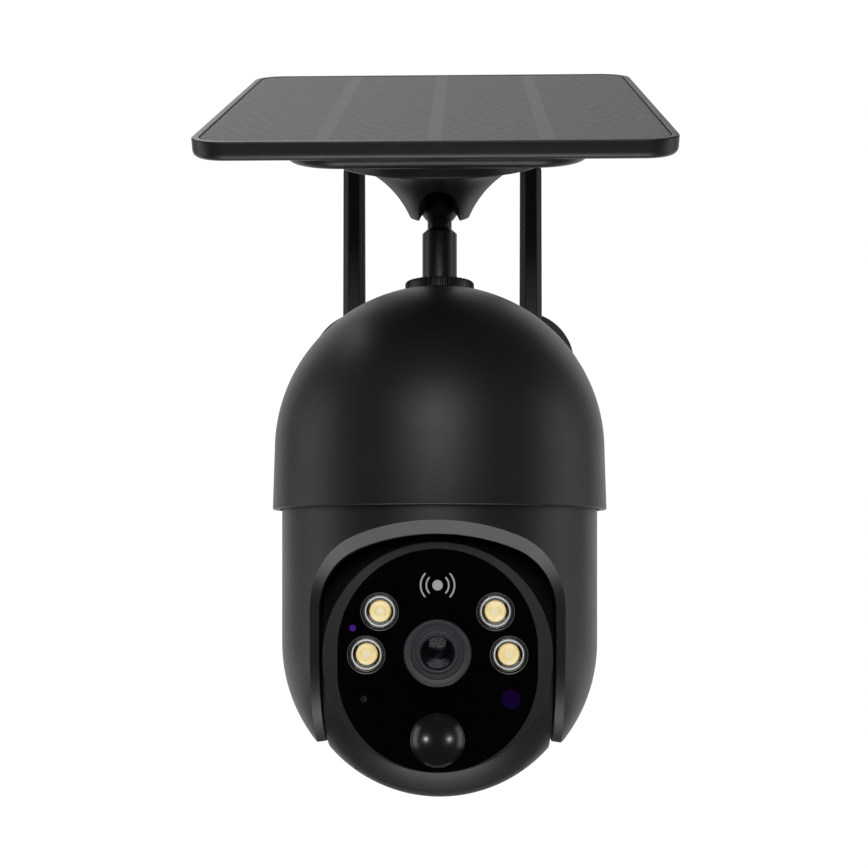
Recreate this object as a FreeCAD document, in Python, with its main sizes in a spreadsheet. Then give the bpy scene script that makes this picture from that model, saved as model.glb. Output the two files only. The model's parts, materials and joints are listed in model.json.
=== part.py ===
import FreeCAD, Part
import math
import os
import Sketcher
from FreeCAD import Placement, Rotation, Vector

# Solar-powered pan and tilt security camera for a wall.
# Millimetres, +Z up, the front of the camera towards -Y.  The origin is the centre of the wall face.
# Three local frames are used: the pan frame stands on the vertical pan axis, the head frame on the
# tilt axis, and the panel frame on the centre of the ball, with its Z along the panel's normal.

doc = FreeCAD.newDocument("solar_camera")

SIZES = [
    # wall box
    ("pan_setback", 86.0), ("box_width", 107.0), ("box_height", 120.0), ("box_corner", 21.2),
    ("box_depth", 24.0), ("plate_thick", 3.0), ("seal_thick", 0.6), ("wall", 2.5),
    ("bolt_x", 72.0), ("bolt_z", 88.0), ("bolt_hole", 2.6), ("neck_half", 26.0),
    ("neck_low", -16.0), ("neck_high", 40.0), ("wire_hole", 6.0), ("wire_z", 12.0),
    # dome
    ("dome_radius", 58.9), ("dome_z", -1.8), ("rim_radius", 59.6), ("rim_z", -22.8),
    ("recess_radius", 13.0), ("recess_z", 54.6), ("socket_radius", 10.0), ("socket_low", 42.0),
    # fork
    ("fork_radius", 56.3), ("fork_top", -14.0), ("fork_ball_z", -70.0), ("fork_foot", -104.3),
    ("fork_gap", 39.5), ("arch_top", -31.9), ("arch_crown", 70.0), ("arch_corner", 22.0),
    ("arch_chamfer", 4.3), ("hub_radius", 11.9), ("hub_top", -1.5), ("running", 0.07),
    ("fork_wall", 3.2), ("pillar_half", 16.0), ("pillar_top", -42.0),
    # head
    ("tilt_z", -73.0), ("head_radius", 52.0), ("head_half", 38.5), ("face_y", -35.0),
    ("head_wall", 2.4), ("trunnion", 4.0), ("face_half", 33.3),
    ("face_straight", 3.85), ("face_thick", 2.0), ("lens_z", 1.5), ("lens_ring", 11.3), ("led_lens", 6.4),
    ("pir_z", -27.6), ("pir_radius", 9.2),
    # arm and ball
    ("ball_z", 86.8), ("ball_radius", 7.0), ("neck_radius", 4.35), ("stem_radius", 6.23),
    ("nut_radius", 12.4), ("nut_top", 59.1),
    # solar panel
    ("panel_width", 147.4), ("panel_length", 155.3), ("panel_low", 29.6), ("panel_top", 35.4),
    ("panel_corner", 11.0), ("panel_under", 2.0), ("rim_width", 2.3), ("glass_deep", 1.9),
    ("glass_gap", 0.4), ("cell_pitch", 33.7), ("cell_width", 29.3), ("cell_high", 0.3),
    ("back_width", 101.0), ("back_length", 96.0), ("back_corner", 19.0), ("back_under", 3.0),
    ("boss_low", 21.4), ("flange_radius", 38.0), ("flange_low", 16.3), ("notch_half", 7.2),
    ("flare_radius", 36.8), ("flare_lip", 10.8), ("notch_z", 1.6),
    # antennas
    ("antenna_x", 35.5), ("antenna_y", 56.0), ("antenna_z", -8.0), ("antenna_reach", 127.0),
    ("antenna_base", 9.2), ("antenna_tip", 8.6), ("antenna_thick", 7.0), ("knuckle", 5.2),
    ("antenna_plane", 5.9), ("hinge_pin", 2.0), ("hinge_cap", 3.4),
    # gears
    ("pan_module", 1.0), ("tilt_module", 0.7), ("pan_gear_z", -8.7), ("gear_width", 4.0),
]
PANEL_PITCH = 26.9
PAN_TEETH = (60, 12)
TILT_TEETH = (30, 12)


class Size:
    """A length with its number and the sheet expression that it comes from."""

    def __init__(self, value, text):
        self.value = value
        self.text = text

    def __add__(self, other):
        return Size(self.value + number(other), f"({self.text} + {wording(other)})")

    def __sub__(self, other):
        return Size(self.value - number(other), f"({self.text} - {wording(other)})")

    def __mul__(self, other):
        return Size(self.value * number(other), f"({self.text} * {wording(other)})")

    def __truediv__(self, other):
        return Size(self.value / number(other), f"({self.text} / {wording(other)})")

    def __neg__(self):
        return Size(-self.value, f"(0 - {self.text})")

    def __radd__(self, other):
        return self + other

    def __rsub__(self, other):
        return -self + other

    def __rmul__(self, other):
        return self * other

    def leg(self, other):
        """The other short side of a right triangle whose long side is this size."""
        value = math.sqrt(self.value ** 2 - number(other) ** 2)
        return Size(value, f"sqrt({self.text} * {self.text} - {wording(other)} * {wording(other)})")


def number(size):
    return size.value if isinstance(size, Size) else float(size)


def wording(size):
    return size.text if isinstance(size, Size) else f"({size})"


class Dimensions:
    """The driving dimensions, one attribute for each cell of the sheet."""


d = Dimensions()
sheet = doc.addObject("Spreadsheet::Sheet", "sizes")
for row, (alias, amount) in enumerate(SIZES, start=1):
    sheet.set(f"A{row}", alias)
    sheet.set(f"B{row}", str(amount))
    sheet.setAlias(f"B{row}", alias)
    setattr(d, alias, Size(amount, f"sizes.{alias}"))
doc.recompute()

nodes = []


def fresh(name):
    """A document name that no earlier object has."""
    count = 1
    while doc.getObject(f"{name}_{count}"):
        count += 1
    return f"{name}_{count}"


def bind(thing, field, size):
    """Set one size of an object, and tie it to the sheet if it comes from there."""
    if isinstance(size, Size):
        thing.setExpression(field, size.text)
    else:
        setattr(thing, field, size)


def move(thing, at):
    """Put an object at a point whose coordinates may come from the sheet."""
    turn = thing.Placement.Rotation
    thing.Placement = Placement(Vector(*[number(part) for part in at]), turn)
    for letter, part in zip("xyz", at):
        if isinstance(part, Size):
            thing.setExpression(f"Placement.Base.{letter}", part.text)
    return thing


UP = Rotation()
RIGHT = Rotation(Vector(0, 1, 0), 90)
LEFT = Rotation(Vector(0, 1, 0), -90)
FRONT = Rotation(Vector(1, 0, 0), 90)
BACK = Rotation(Vector(1, 0, 0), -90)


def rod(radius, length, at=(0, 0, 0), way=UP):
    thing = doc.addObject("Part::Cylinder", fresh("rod"))
    bind(thing, "Radius", radius)
    bind(thing, "Height", length)
    thing.Placement = Placement(Vector(), way)
    return move(thing, at)


def block(size_x, size_y, size_z, centre=(0, 0, 0)):
    thing = doc.addObject("Part::Box", fresh("block"))
    bind(thing, "Length", size_x)
    bind(thing, "Width", size_y)
    bind(thing, "Height", size_z)
    halves = [size * 0.5 for size in (size_x, size_y, size_z)]
    return move(thing, [place - half for place, half in zip(centre, halves)])


def globe(radius, at=(0, 0, 0)):
    thing = doc.addObject("Part::Sphere", fresh("globe"))
    bind(thing, "Radius", radius)
    return move(thing, at)


def cone(radius_low, radius_high, height, at=(0, 0, 0), way=UP):
    thing = doc.addObject("Part::Cone", fresh("cone"))
    bind(thing, "Radius1", radius_low)
    bind(thing, "Radius2", radius_high)
    bind(thing, "Height", height)
    thing.Placement = Placement(Vector(), way)
    return move(thing, at)


def joined(*things):
    if len(things) == 1:
        return things[0]
    whole = doc.addObject("Part::MultiFuse", fresh("join"))
    whole.Shapes = list(things)
    return whole


def cut(base, *tools):
    whole = doc.addObject("Part::Cut", fresh("cut"))
    whole.Base = base
    whole.Tool = joined(*tools)
    return whole


def common(*things):
    whole = doc.addObject("Part::MultiCommon", fresh("common"))
    whole.Shapes = list(things)
    return whole


def group(*things):
    whole = doc.addObject("Part::Compound", fresh("group"))
    whole.Links = list(things)
    return whole


def origin_plane(body, role):
    return next(item for item in body.Origin.OriginFeatures if item.Role == role)


def arc_through(start, end, radius):
    """The short arc between two points; it turns left for a positive radius and right for a negative."""
    middle = (start + end) * 0.5
    chord = end - start
    reach = math.sqrt(max(radius ** 2 - chord.Length ** 2 / 4.0, 0.0))
    left = Vector(-chord.y, chord.x, 0).normalize()
    centre = middle + left * math.copysign(reach, radius)
    first, last = (start, end) if radius > 0 else (end, start)
    angles = [math.atan2(spot.y - centre.y, spot.x - centre.x) for spot in (first, last)]
    circle = Part.Circle(centre, Vector(0, 0, 1), abs(radius))
    return Part.ArcOfCircle(circle, angles[0], angles[1])


def pin_point(sketch, edge, end, spot):
    """Fix one corner of an outline by its two distances from the sketch's origin."""
    for kind, axis, size in (("DistanceX", -2, spot[0]), ("DistanceY", -1, spot[1])):
        if number(size) == 0.0:
            sketch.addConstraint(Sketcher.Constraint("PointOnObject", edge, end, axis))
            continue
        index = sketch.addConstraint(Sketcher.Constraint(kind, -1, 1, edge, end, number(size)))
        if isinstance(size, Size):
            sketch.setExpression(f"Constraints[{index}]", size.text)


def draw(sketch, outline):
    """Draw a closed outline of corners (x, y).

    A third value is the radius of the arc that leads to that corner, left turning when positive.
    """
    spots = [Vector(number(spot[0]), number(spot[1]), 0) for spot in outline]
    base = sketch.GeometryCount
    ends = []
    for index, spot in enumerate(spots):
        after = (index + 1) % len(spots)
        radius = outline[after][2] if len(outline[after]) == 3 else 0
        if number(radius) == 0:
            sketch.addGeometry(Part.LineSegment(spot, spots[after]), False)
            ends.append((1, 2))
            continue
        sketch.addGeometry(arc_through(spot, spots[after], number(radius)), False)
        ends.append((1, 2) if number(radius) > 0 else (2, 1))
    for index, spot in enumerate(outline):
        after = (index + 1) % len(outline)
        edge, onward = base + index, base + after
        joint = Sketcher.Constraint("Coincident", edge, ends[index][1], onward, ends[after][0])
        sketch.addConstraint(joint)
        pin_point(sketch, edge, ends[index][0], spot)
        radius = outline[after][2] if len(outline[after]) == 3 else 0
        if number(radius) != 0:
            held = sketch.addConstraint(Sketcher.Constraint("Radius", edge, abs(number(radius))))
            if isinstance(radius, Size):
                positive = radius if number(radius) > 0 else -radius
                sketch.setExpression(f"Constraints[{held}]", positive.text)


def ring(sketch, radius, centre=(0, 0)):
    """Draw a full circle."""
    spot = Vector(number(centre[0]), number(centre[1]), 0)
    edge = sketch.addGeometry(Part.Circle(spot, Vector(0, 0, 1), number(radius)), False)
    pin_point(sketch, edge, 3, centre)
    held = sketch.addConstraint(Sketcher.Constraint("Radius", edge, number(radius)))
    if isinstance(radius, Size):
        sketch.setExpression(f"Constraints[{held}]", radius.text)


def new_body(role):
    body = doc.addObject("PartDesign::Body", fresh("body"))
    return body, new_sketch(body, role)


def new_sketch(body, role):
    sketch = body.newObject("Sketcher::SketchObject", fresh("sketch"))
    sketch.AttachmentSupport = (origin_plane(body, role), [""])
    sketch.MapMode = "FlatFace"
    return sketch


def turned(outline):
    """A body turned about Z from an outline of (radius, height) corners."""
    body, sketch = new_body("XZ_Plane")
    draw(sketch, outline)
    turn = body.newObject("PartDesign::Revolution", fresh("turn"))
    turn.Profile = sketch
    turn.ReferenceAxis = (sketch, ["V_Axis"])
    turn.Angle = 360
    return body


def slab(outline, thick, role="XY_Plane", holes=()):
    """A body padded both ways from an outline, with round holes (x, y, radius)."""
    body, sketch = new_body(role)
    draw(sketch, outline)
    for hole_x, hole_y, radius in holes:
        ring(sketch, radius, (hole_x, hole_y))
    pad = body.newObject("PartDesign::Pad", fresh("pad"))
    pad.Profile = sketch
    pad.Midplane = True
    bind(pad, "Length", thick)
    return body


def rounded(width, height, radius):
    """The corners of a rounded rectangle about the origin, anticlockwise."""
    half_w, half_h = width * 0.5, height * 0.5
    in_w, in_h = half_w - radius, half_h - radius
    return [(half_w, -in_h, radius), (half_w, in_h), (in_w, half_h, radius), (-in_w, half_h),
            (-half_w, in_h, radius), (-half_w, -in_h), (-in_w, -half_h, radius), (in_w, -half_h)]


def gear(module, teeth, width, bore):
    """A spur gear about Z, centred on z = 0, with straight-flanked teeth and one tooth towards +X."""
    pitch = module * (teeth * 0.5)
    root, tip = pitch - module * 1.2, pitch + module * 0.9
    body, sketch = new_body("XY_Plane")
    ring(sketch, root)
    ring(sketch, bore)
    disc = body.newObject("PartDesign::Pad", fresh("pad"))
    disc.Profile = sketch
    disc.Midplane = True
    bind(disc, "Length", width)
    foot_half, tip_half = module * 0.88, module * 0.26
    inside = root - module * 0.35
    flank = new_sketch(body, "XY_Plane")
    draw(flank, [(inside, -foot_half), (tip, -tip_half), (tip, tip_half), (inside, foot_half)])
    tooth = body.newObject("PartDesign::Pad", fresh("pad"))
    tooth.Profile = flank
    tooth.Midplane = True
    bind(tooth, "Length", width)
    wheel = body.newObject("PartDesign::PolarPattern", fresh("pattern"))
    wheel.Originals = [tooth]
    wheel.Axis = (flank, ["N_Axis"])
    wheel.Angle = 360
    wheel.Occurrences = teeth
    body.Tip = wheel
    return body


def screw(head, head_high, shank, length, at, way):
    """A screw whose head starts at a point and whose shank runs on from it along the same way."""
    whole = joined(rod(head, head_high), rod(shank, length + head_high))
    socket = rod(head * 0.5, head_high * 0.6)
    made = cut(whole, socket)
    made.Placement = Placement(Vector(*[number(part) for part in at]), way)
    return made


def node(label, thing, base=(0, 0, 0), turn=UP):
    """Name a finished piece and put its local frame in place.

    A piece whose own place is tied to the sheet is carried by a compound, which takes the frame.
    """
    if any("Placement" in entry[0] for entry in thing.ExpressionEngine):
        thing = group(thing)
    thing.Label = label
    thing.Placement = Placement(Vector(*[number(part) for part in base]), turn) * thing.Placement
    nodes.append(thing)
    return thing


PAN = (0, -d.pan_setback, 0)
HEAD = (0, -d.pan_setback, d.tilt_z)
BALL = (0, -d.pan_setback, d.ball_z)
PITCH = Rotation(Vector(1, 0, 0), PANEL_PITCH)


# ---------------------------------------------------------------- wall box
SCREW_SPOTS = [(x, z) for x in (-43, 43) for z in (-41, 41)]
SCREW_HEAD, SCREW_HEAD_HIGH, SCREW_SHANK, SCREW_LONG, SCREW_SUNK = 3.0, 2.0, 1.1, 19.5, 1.8
BOSS, NECK_DEEP, LONG_ROD = 4.0, 34.0, 60.0
INLET_X, BUTTON_X, UNDER_Y = -18, 18, -12
inside_width, inside_height = d.box_width - d.wall * 2, d.box_height - d.wall * 2
inside_corner = d.box_corner - d.wall


def wall_box():
    """Hollow box with a hollow neck that carries the dome."""
    deep = d.box_depth - d.plate_thick - d.seal_thick
    front, back = -d.box_depth, -d.plate_thick - d.seal_thick
    middle = front + deep * 0.5
    outer = slab(rounded(d.box_width, d.box_height, d.box_corner), deep, "XZ_Plane")
    hollow = slab(rounded(inside_width, inside_height, inside_corner), deep, "XZ_Plane")
    move(outer, (0, middle, 0))
    move(hollow, (0, middle + d.wall, 0))
    neck_tall, neck_mid = d.neck_high - d.neck_low, (d.neck_high + d.neck_low) * 0.5
    neck = block(d.neck_half * 2, NECK_DEEP, neck_tall, (0, front - NECK_DEEP * 0.5, neck_mid))
    neck_way = block((d.neck_half - d.wall) * 2, LONG_ROD, neck_tall - d.wall * 2,
                     (0, front - LONG_ROD * 0.5 + d.wall + 1, neck_mid))
    bosses = [rod(BOSS, deep - 0.5, (x, back, z), FRONT) for x, z in SCREW_SPOTS]
    bores = [rod(SCREW_SHANK + 0.6, LONG_ROD, (x, 0, z), FRONT) for x, z in SCREW_SPOTS]
    sinks = [rod(SCREW_HEAD + 0.4, 6, (x, front + SCREW_HEAD_HIGH + SCREW_SUNK + 0.2, z), FRONT)
             for x, z in SCREW_SPOTS]
    under = d.box_height * -0.5 - 1
    openings = [rod(6.0, 6.0, (INLET_X, UNDER_Y, under)), rod(4.1, 6.0, (BUTTON_X, UNDER_Y, under))]
    box = joined(cut(outer, hollow), cut(neck, dome_envelope()), *bosses)
    return cut(box, neck_way, *bores, *sinks, *openings)


def dome_envelope():
    """The dome's outer skin as one solid, for fitting the neck against it."""
    skirt = d.dome_z - d.rim_z
    return joined(globe(d.dome_radius, (0, -d.pan_setback, d.dome_z)),
                  cone(d.rim_radius, d.dome_radius, skirt, (0, -d.pan_setback, d.rim_z)))


node("rear_box", wall_box())

seal_middle = -d.plate_thick - d.seal_thick * 0.5
seal_outer = slab(rounded(d.box_width - 1, d.box_height - 1, d.box_corner - 0.5),
                  d.seal_thick, "XZ_Plane")
seal_hole = slab(rounded(inside_width, inside_height, inside_corner), d.seal_thick * 4, "XZ_Plane")
node("rear_seal", cut(seal_outer, seal_hole), (0, seal_middle, 0))

bolt_holes = [(d.bolt_x * side_x * 0.5, d.bolt_z * side_z * 0.5, d.bolt_hole)
              for side_x in (-1, 1) for side_z in (-1, 1)]
pilot_holes = [(x, z, SCREW_SHANK + 0.1) for x, z in SCREW_SPOTS]
plate = slab(rounded(d.box_width, d.box_height, d.box_corner), d.plate_thick, "XZ_Plane",
             bolt_holes + pilot_holes)
node("wall_plate", plate, (0, d.plate_thick * -0.5, 0))

box_screws = [screw(SCREW_HEAD, SCREW_HEAD_HIGH, SCREW_SHANK, SCREW_LONG,
                    (x, SCREW_SUNK - d.box_depth, z), BACK) for x, z in SCREW_SPOTS]
node("box_screws", group(*box_screws))

board = block(76, 1.6, 56, (0, -13, 10))
board_parts = [block(26, 3, 26, (-18, -15.3, 16)), block(14, 2.5, 14, (16, -15.05, 22)),
               block(9, 5, 16, (30, -16.3, -6)), block(22, 4, 6, (-8, -15.8, -12))]
node("main_board", joined(board, *board_parts))


def charge_inlet():
    """Round socket with a bore that a charging plug goes into from below."""
    body = joined(rod(5.8, 12, (0, 0, 0)), rod(7.6, 1.5, (0, 0, 2.6)))
    return cut(body, rod(3.2, 9.5, (0, 0, -0.5)))


node("charge_inlet", charge_inlet(), (INLET_X, UNDER_Y, d.box_height * -0.5))

# ---------------------------------------------------------------- dome and what it holds
inner_radius = d.dome_radius - d.wall
rim_inner = d.rim_radius - d.wall
boss_low = d.recess_z - 8.6
dome_outline = [
    (rim_inner, d.rim_z), (d.rim_radius, d.rim_z), (d.dome_radius, d.dome_z),
    (d.recess_radius, d.dome_radius.leg(d.recess_radius) + d.dome_z, d.dome_radius),
    (d.recess_radius, d.recess_z), (d.socket_radius + 0.05, d.recess_z),
    (d.socket_radius + 0.05, boss_low), (d.socket_radius + 4, boss_low),
    (d.socket_radius + 4, inner_radius.leg(d.socket_radius + 4) + d.dome_z),
    (inner_radius, d.dome_z, -inner_radius),
]
dome = turned(dome_outline)
node("dome_shell", cut(dome, rod(d.wire_hole, 30, (0, 70, d.wire_z), FRONT)), PAN)

stem_bore = d.stem_radius + d.running
socket_outline = [
    (stem_bore, d.socket_low), (d.socket_radius + 3, d.socket_low),
    (d.socket_radius + 3, boss_low - 0.05), (d.socket_radius, boss_low - 0.05),
    (d.socket_radius, d.recess_z), (stem_bore, d.recess_z),
]
node("arm_socket", turned(socket_outline), PAN)

plate_low, plate_high = -12.0, -9.0
POST_SPOTS = [(x, y) for x in (-30, 30) for y in (-38, 38)]
POST, POST_HIGH, POST_BORE = 4.0, 5.0, 1.3
TURNED_OVER = Rotation(Vector(1, 0, 0), 180)
base_disc = rod(55.6, plate_high - plate_low, (0, 0, plate_low))
motor_seat = block(18, 3.6, 7, (0, 45.6, plate_high + 3.5))
posts = [rod(POST, POST_HIGH, (x, y, plate_high)) for x, y in POST_SPOTS]
base_cuts = [rod(d.hub_radius + d.running, 30, (0, 0, plate_low - 5))]
base_cuts += [rod(POST_BORE, 20, (x, y, plate_low - 5)) for x, y in POST_SPOTS]
node("pan_base", cut(joined(base_disc, motor_seat, *posts), *base_cuts), PAN)
base_screws = [screw(2.6, 1.6, POST_BORE - 0.05, 8, (x, y, plate_high + POST_HIGH + 3.5), TURNED_OVER)
               for x, y in POST_SPOTS]
node("base_screws", group(*base_screws), PAN)

pan_spacing = d.pan_module * ((PAN_TEETH[0] + PAN_TEETH[1]) * 0.5)
motor_low = plate_high + 7
motor_can = joined(rod(10, 17, (0, pan_spacing, motor_low)),
                   rod(4, 1.2, (0, pan_spacing, motor_low - 1.2)))
motor_bore = rod(1.27, 30, (0, pan_spacing, motor_low - 5))
node("pan_motor", cut(motor_can, motor_bore), PAN)

CELL, CELL_LONG, cell_z, cell_apart = 9.2, 65.0, 28.0, 9.7
cells = [rod(CELL, CELL_LONG, (CELL_LONG * -0.5, side * cell_apart, cell_z), RIGHT)
         for side in (-1, 1)]
node("battery_cells", group(*cells), PAN)
tray = block(71, 39, 5, (0, 0, cell_z - 9))
tray_ends = [block(2.4, 39, 14, (side * 34.3, 0, cell_z - 4.5)) for side in (-1, 1)]
trough_long = CELL_LONG + 0.4
tray_troughs = [rod(CELL + 0.1, trough_long, (trough_long * -0.5, side * cell_apart, cell_z), RIGHT)
                for side in (-1, 1)]
node("battery_tray", cut(joined(tray, *tray_ends), *tray_troughs), PAN)

# ---------------------------------------------------------------- antennas and button
hinge_y = d.antenna_y - d.pan_setback
for side, name in ((-1, "left"), (1, "right")):
    half_low, half_high = d.antenna_base * 0.5, d.antenna_tip * 0.5
    blade_top = d.antenna_reach - half_high
    blade = slab([(-half_low, 0), (half_low, 0), (half_high, blade_top),
                  (-half_high, blade_top, half_high + 0.001)], d.antenna_thick, "XZ_Plane")
    planed = slab([(-d.antenna_plane, 0), (0, -d.antenna_plane), (d.antenna_plane, 0),
                   (0, d.antenna_plane)], d.antenna_reach * 2 + 10)
    shoulder = rod(d.knuckle, d.antenna_thick, (0, d.antenna_thick * 0.5, 0), FRONT)
    pin_way = rod(d.hinge_pin + 0.07, 20, (0, 10, 0), FRONT)
    whole = cut(joined(common(blade, planed), shoulder), pin_way)
    node(f"antenna_{name}", whole, (d.antenna_x * side, hinge_y, d.antenna_z))

hinge_gap = 0.1
spigots = []
for side in (-1, 1):
    where, start = d.antenna_x * side, -d.box_depth
    near = hinge_y + d.antenna_thick * 0.5 + hinge_gap
    far = hinge_y - d.antenna_thick * 0.5 - hinge_gap
    foot = rod(d.knuckle, start - near, (where, start, d.antenna_z), FRONT)
    pin = rod(d.hinge_pin, start - far + 0.2, (where, start, d.antenna_z), FRONT)
    cap = rod(d.hinge_cap, 0.9, (where, far, d.antenna_z), FRONT)
    spigots.append(joined(foot, pin, cap))
node("antenna_hinges", group(*spigots))

button = joined(rod(4.03, 4.0), rod(5.4, 1.2, (0, 0, 3.2)))
node("power_button", button, (BUTTON_X, UNDER_Y, d.box_height * -0.5 - 0.6))

# ---------------------------------------------------------------- pan fork
foot_radius = d.fork_radius.leg(d.fork_foot - d.fork_ball_z)
fork_outline = [
    (0, d.fork_foot), (foot_radius, d.fork_foot), (d.fork_radius, d.fork_ball_z, d.fork_radius),
    (d.fork_radius, d.fork_top - 1.5), (d.fork_radius - 1.5, d.fork_top),
    (d.hub_radius, d.fork_top), (d.hub_radius, d.hub_top), (0, d.hub_top),
]
crown_centre = d.arch_top - d.arch_crown
corner_x = d.fork_gap - d.arch_corner
corner_rise = (d.arch_crown - d.arch_corner).leg(corner_x)
corner_z = crown_centre + corner_rise
BELOW = -120.0


def tunnel(grow):
    """The arch between the fork's arms, grown by a thickness, as a long slab along Y."""
    gap, crown, corner = d.fork_gap + grow, d.arch_crown + grow, d.arch_corner + grow
    share = crown / (d.arch_crown - d.arch_corner)
    bend_x, bend_z = corner_x * share, crown_centre + corner_rise * share
    outline = [(-gap, BELOW), (gap, BELOW), (gap, corner_z), (bend_x, bend_z, corner),
               (-bend_x, bend_z, crown), (-gap, corner_z, corner)]
    return slab(outline, 140, "XZ_Plane")


def head_space(grow):
    """The ball-shaped room that the head turns in, between the arms, grown by a thickness."""
    return common(globe(d.head_radius + 1.0 + grow, (0, 0, d.tilt_z)),
                  block((d.fork_gap + grow) * 2, 120, 120, (0, 0, d.tilt_z)))


def fork_hollow():
    """The room inside the fork, open at the top, with the hub and two pillars left standing."""
    inside = d.fork_radius - d.fork_wall
    room = common(joined(rod(inside, d.fork_top - d.fork_ball_z + 1, (0, 0, d.fork_ball_z)),
                         globe(inside, (0, 0, d.fork_ball_z))),
                  block(120, 120, 110, (0, 0, d.fork_foot + d.fork_wall + 55)))
    hub = rod(d.hub_radius + d.fork_wall, 60, (0, 0, d.fork_top - 50))
    pillars = block(120, d.pillar_half * 2, 80, (0, 0, d.pillar_top - 40))
    return cut(room, tunnel(d.fork_wall), head_space(d.fork_wall), hub, pillars)


fork_blank = cut(turned(fork_outline), tunnel(0))
doc.recompute()


def arch_edges(shape):
    """The edges where the arch breaks through the fork's round outside."""
    chosen = []
    for index, edge in enumerate(shape.Edges, start=1):
        spots = edge.discretize(5)
        on_skin = all(abs(math.hypot(spot.x, spot.y) - skin_radius(spot.z)) < 0.05 for spot in spots)
        level = max(spot.z for spot in spots) - min(spot.z for spot in spots) < 0.01
        if on_skin and not level and abs(spots[2].x) < d.fork_gap.value + 0.1:
            chosen.append(index)
    return chosen


def skin_radius(height):
    below = min(height - d.fork_ball_z.value, 0.0)
    return math.sqrt(max(d.fork_radius.value ** 2 - below ** 2, 0.0))


bevelled = doc.addObject("Part::Chamfer", "fork_bevel")
bevelled.Base = fork_blank
bevelled.Edges = [(index, d.arch_chamfer.value, d.arch_chamfer.value)
                  for index in arch_edges(fork_blank.Shape)]

tilt_spacing = d.tilt_module * ((TILT_TEETH[0] + TILT_TEETH[1]) * 0.5)
pinion_z = d.tilt_z + tilt_spacing
drive_z = d.tilt_z + 4.2
drive_pocket = block(8.2, 25, 34.5, (d.fork_gap + 4.0, 0, drive_z))
motor_pocket = rod(7.3, 12.0, (d.fork_gap, 0, pinion_z), RIGHT)
cover_recess = block(1.5, 31, 40.5, (d.fork_gap + 0.75, 0, drive_z))
bush_hole = rod(6.0, 8.0, (-d.fork_gap, 0, d.tilt_z), LEFT)
wire_bore = rod(5.0, 60, (0, 0, -40))
fork = cut(bevelled, fork_hollow(), head_space(0), drive_pocket, motor_pocket, cover_recess,
           bush_hole, wire_bore)
node("fork_shell", fork, PAN)

trunnion_bore = d.trunnion + d.running
cover_hole = rod(trunnion_bore, 6, (d.fork_gap - 2, 0, d.tilt_z), RIGHT)
cover_blank = block(1.4, 30.6, 40.1, (d.fork_gap + 0.8, 0, drive_z))
node("drive_cover", cut(cover_blank, cover_hole), PAN)

bush = cut(rod(5.95, 7.5, (-d.fork_gap, 0, d.tilt_z), LEFT),
           rod(trunnion_bore, 12, (-d.fork_gap + 2, 0, d.tilt_z), LEFT))
node("tilt_bush", bush, PAN)

gear_mid, motor_face = d.fork_gap + 4.5, d.fork_gap + 6.6
pancake = cut(rod(7.0, 5.0, (motor_face, 0, pinion_z), RIGHT),
              rod(1.05, 20, (motor_face - 4, 0, pinion_z), RIGHT))
node("tilt_motor", pancake, PAN)


def pinion(module, teeth, width, bore, shaft, shaft_long):
    """A small gear, turned by half a tooth to mesh, on its motor's shaft."""
    wheel = gear(module, teeth, width, bore)
    wheel.Placement = Placement(Vector(), Rotation(Vector(0, 0, 1), 180.0 / teeth))
    return joined(wheel, rod(shaft, shaft_long, (0, 0, width * -0.5)))


pan_gear_mid = d.pan_gear_z + d.gear_width * 0.5
node("pan_gear", gear(d.pan_module, PAN_TEETH[0], d.gear_width, d.hub_radius + 0.03),
     (0, -d.pan_setback, pan_gear_mid))
node("pan_pinion", pinion(d.pan_module, PAN_TEETH[1], d.gear_width - 0.4, 1.2, 1.22, 16),
     (0, pan_spacing - d.pan_setback, pan_gear_mid))
node("tilt_gear", gear(d.tilt_module, TILT_TEETH[0], 3.0, d.trunnion + 0.03),
     (gear_mid, -d.pan_setback, d.tilt_z), RIGHT)
node("tilt_pinion", pinion(d.tilt_module, TILT_TEETH[1], 2.6, 0.9, 1.0, 7.5),
     (gear_mid, -d.pan_setback, pinion_z), RIGHT)

# ---------------------------------------------------------------- camera head
FACE_SHIFT = -1.0
LEDS = [(side * x, z) for side in (-1, 1) for x, z in ((19.3, 15.3), (23.8, 0.9))]


def face_outline(grow):
    """Two half circles, above and below, joined by short straight sides."""
    half = d.face_half + grow
    high, low = d.face_straight + FACE_SHIFT, -d.face_straight + FACE_SHIFT
    return [(half, low, half), (half, high), (0, high + half, half), (-half, high, half),
            (-half, low), (0, low - half, half)]


def flap_outline(grow):
    """The card cover seen from below: a bowed front edge and a straight rear edge."""
    half = 29.0 + grow
    return [(-half, 12 + grow), (-half, -18 - grow), (half, -18 - grow, 92.0), (half, 12 + grow)]


def face_at(depth):
    """The distance along Y of a plane that lies a given depth behind the face."""
    return d.face_y + depth


ROOM = 120.0


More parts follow.
